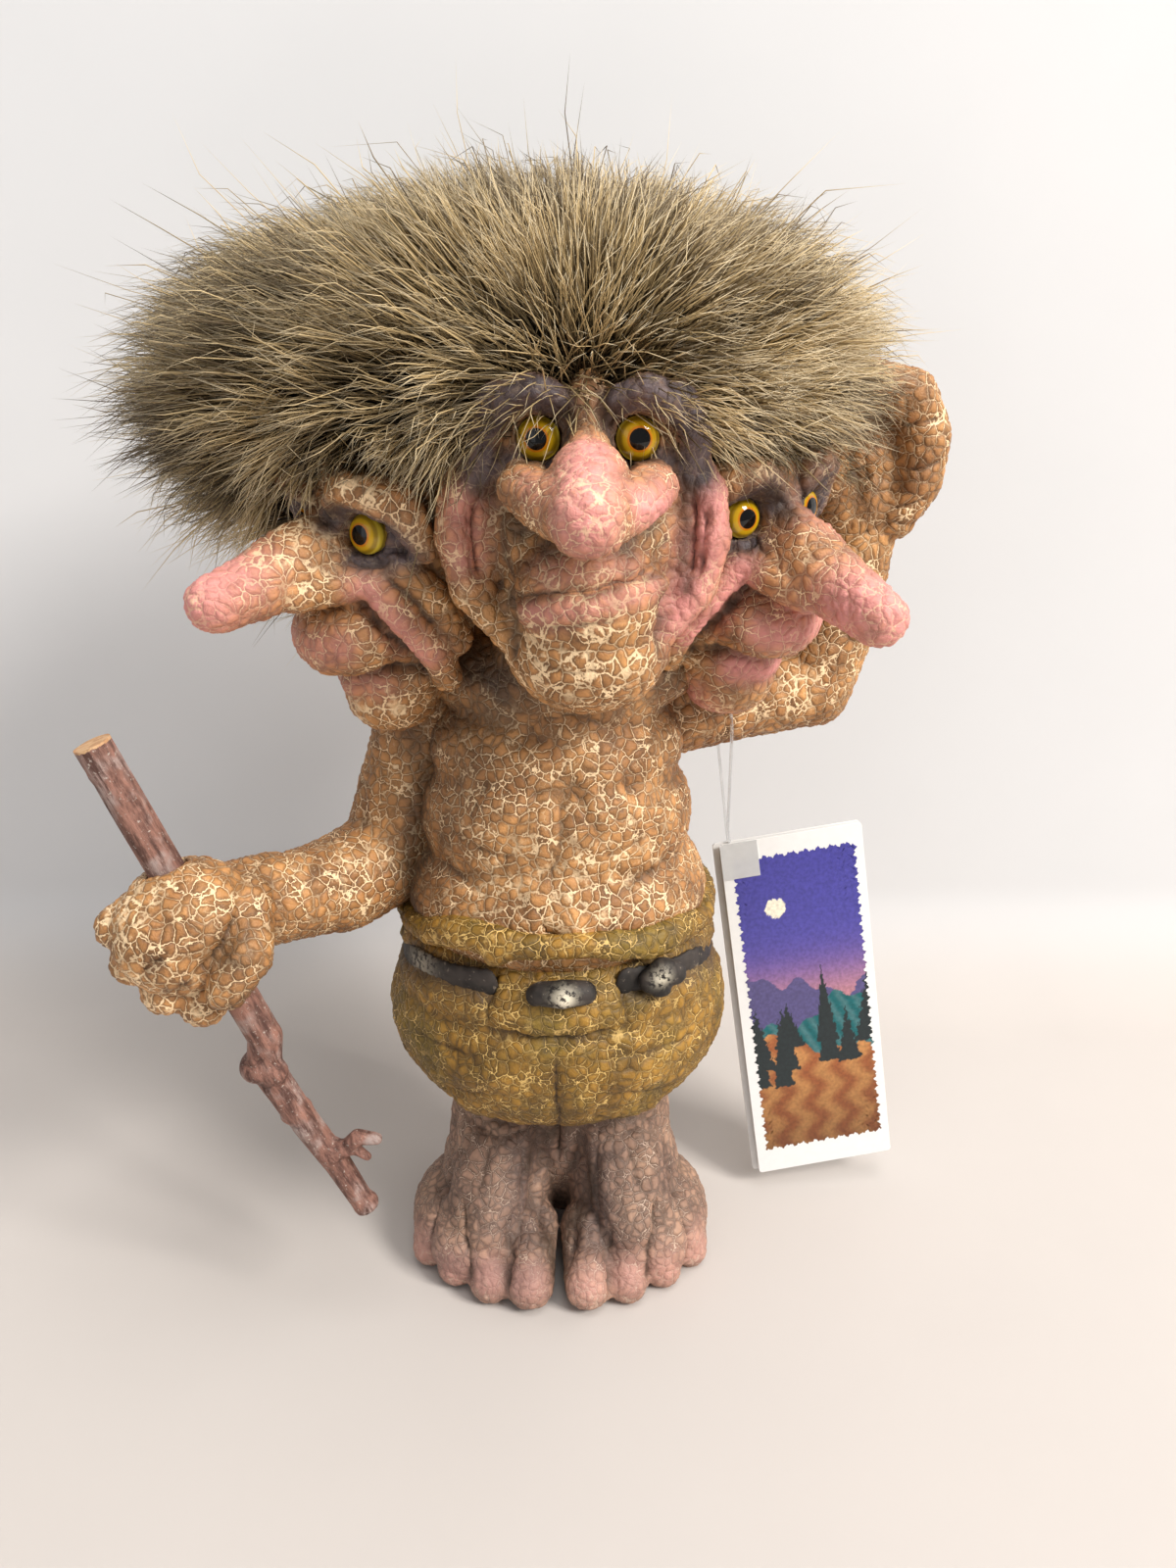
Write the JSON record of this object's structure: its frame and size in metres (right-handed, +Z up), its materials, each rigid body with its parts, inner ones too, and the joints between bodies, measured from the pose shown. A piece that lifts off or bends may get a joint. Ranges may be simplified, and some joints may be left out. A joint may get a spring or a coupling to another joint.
{
  "type": "norwegian troll figure",
  "caption": "Standing many-headed troll figure of cast latex with a fur wig, glassy eyes, a twig that slides in its fist and a folded hang tag on a loop.",
  "frame": {"origin": "middle of the feet on the surface that the figure stands on", "axes": "+Z up, the middle face looks along -Y, +X on the viewer's right"},
  "size_m": [0.1519, 0.094, 0.213],
  "materials": {
    "skin": "matte painted latex with cream crackle",
    "trousers": "matte painted latex with crackle",
    "belt": "matte paint with chips",
    "fur": "long-pile artificial fur",
    "eye_glass": "polished",
    "eye_disc": "painted iris and pupil",
    "bark": "natural bark",
    "paper": "coated printed card",
    "clear_loop": "clear nylon",
    "tape": "frosted"
  },
  "bodies": {
    "figure": {"torso": "skin", "right_arm": "skin", "left_arm": "skin", "middle_head": "skin", "left_head": "skin", "right_head": "skin", "feet": "skin", "trousers": "trousers", "belt": "belt", "belt_knobs": "belt", "fur_wig": "fur", "middle_head_left_eye_lens": "eye_glass", "middle_head_right_eye_lens": "eye_glass", "left_head_left_eye_lens": "eye_glass", "left_head_right_eye_lens": "eye_glass", "right_head_left_eye_lens": "eye_glass", "right_head_right_eye_lens": "eye_glass", "middle_head_left_eye_disc": "eye_disc", "middle_head_right_eye_disc": "eye_disc", "left_head_left_eye_disc": "eye_disc", "left_head_right_eye_disc": "eye_disc", "right_head_left_eye_disc": "eye_disc", "right_head_right_eye_disc": "eye_disc"},
    "stick": {"twig": "bark"},
    "tag": {"tag_back": "paper", "tag_loop": "clear_loop"},
    "tag_cover": {"tag_front": "paper", "tag_tape": "tape"}
  },
  "joints": [
    {"name": "stick_slide", "type": "slide", "parent": "figure", "child": "stick", "axis": [-0.3469, 0, 0.9379], "range_m": [-0.018, 0.005]},
    {"name": "tag_swing", "type": "hinge", "parent": "figure", "child": "tag", "pos_m": [0.03206, 0.01643, 0.11795], "axis": [0.9518, 0.2954, 0.0821], "range_deg": [-12, 12]},
    {"name": "cover_open", "type": "hinge", "parent": "tag", "child": "tag_cover", "pos_m": [0.03252, 0.02168, 0.08281], "axis": [0.1454, -0.1612, -0.9762], "range_deg": [0, 75]}
  ]
}
